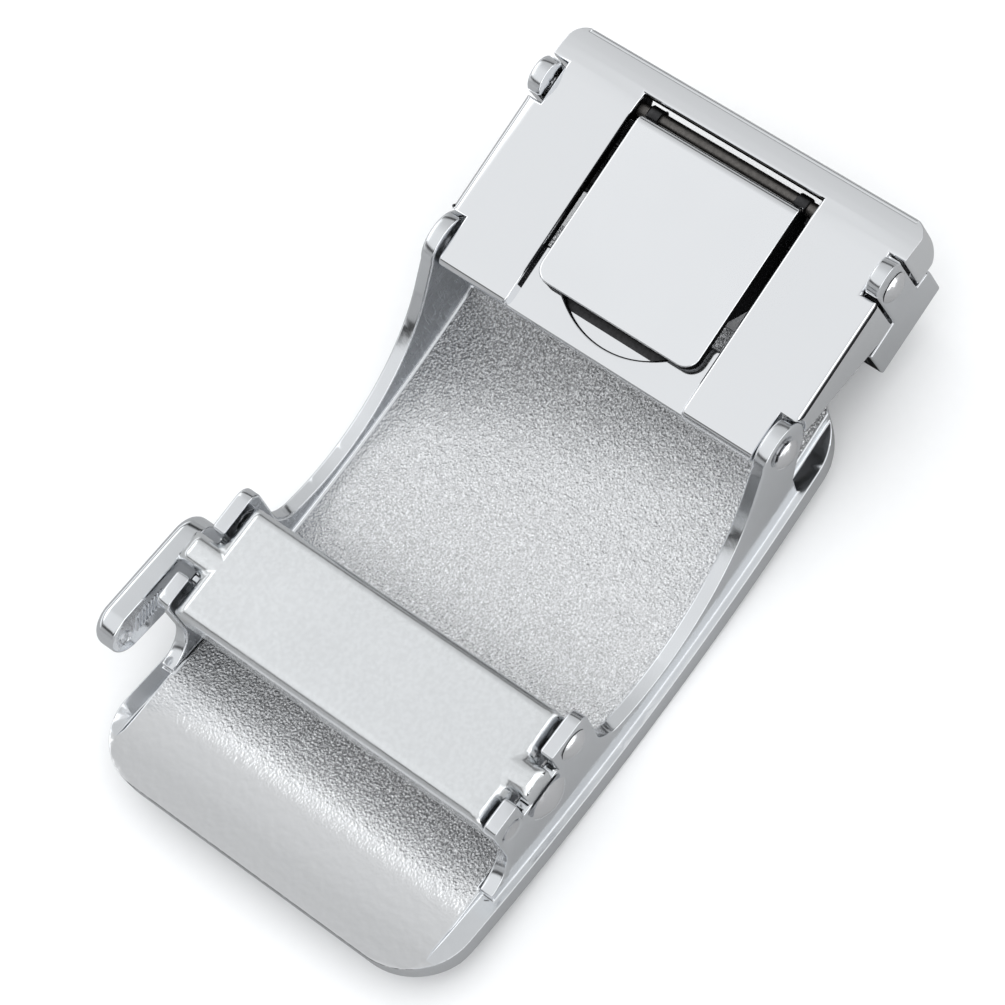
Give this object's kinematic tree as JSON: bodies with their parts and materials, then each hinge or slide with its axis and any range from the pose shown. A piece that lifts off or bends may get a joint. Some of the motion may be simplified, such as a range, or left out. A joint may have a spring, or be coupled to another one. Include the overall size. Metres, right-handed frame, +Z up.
{
  "type": "ratchet belt buckle",
  "caption": "Ratchet belt buckle for a smooth strap: bowed rectangular plate, side walls, sprung release bar with a side lever, and a swinging strap clamp with a locking flap.",
  "frame": {"origin": "under the middle of the face plate, on its bowed front face, which lies down", "axes": "+X along the buckle towards the strap clamp, +Y towards the side with the release lever, +Z up from the front face to the side that faces the wearer"},
  "size_m": [0.0791, 0.0433, 0.0215],
  "materials": {
    "body": "polished chrome outside, fine grained chrome on the sunk floor",
    "release_bar": "satin chrome",
    "bar_pivot_pin": "polished",
    "release_lever": "polished",
    "lug_rivet_left": "polished",
    "lug_rivet_right": "polished",
    "lug_pin_left": "polished",
    "lug_pin_right": "polished",
    "clamp_cover": "polished",
    "clamp_flap": "polished",
    "flap_pin": "polished",
    "clamp_jaw": "polished",
    "jaw_rivet_left": "polished",
    "jaw_rivet_right": "polished",
    "ear_rivet_left": "polished",
    "ear_rivet_right": "polished"
  },
  "bodies": {
    "frame": {"body": "body", "lug_rivet_left": "lug_rivet_left", "lug_rivet_right": "lug_rivet_right", "lug_pin_left": "lug_pin_left", "lug_pin_right": "lug_pin_right"},
    "release": {"release_bar": "release_bar", "bar_pivot_pin": "bar_pivot_pin", "release_lever": "release_lever"},
    "clamp": {"clamp_cover": "clamp_cover", "flap_pin": "flap_pin", "clamp_jaw": "clamp_jaw", "jaw_rivet_left": "jaw_rivet_left", "jaw_rivet_right": "jaw_rivet_right", "ear_rivet_left": "ear_rivet_left", "ear_rivet_right": "ear_rivet_right"},
    "flap": {"clamp_flap": "clamp_flap"}
  },
  "joints": [
    {"name": "bar_release", "type": "hinge", "parent": "frame", "child": "release", "pos_m": [-0.0124, 0, 0.0106], "axis": [0, -1, 0], "range_deg": [0, 8], "stiffness_Nm_per_rad": 0.3, "springref_deg": -5.73},
    {"name": "clamp_swing", "type": "hinge", "parent": "frame", "child": "clamp", "pos_m": [0.02335, 0, 0.0148], "axis": [0, -1, 0], "range_deg": [-20, 90]},
    {"name": "flap_lift", "type": "hinge", "parent": "clamp", "child": "flap", "pos_m": [0.04234, 0, 0.01825], "axis": [0, 1, 0], "range_deg": [0, 50]}
  ]
}
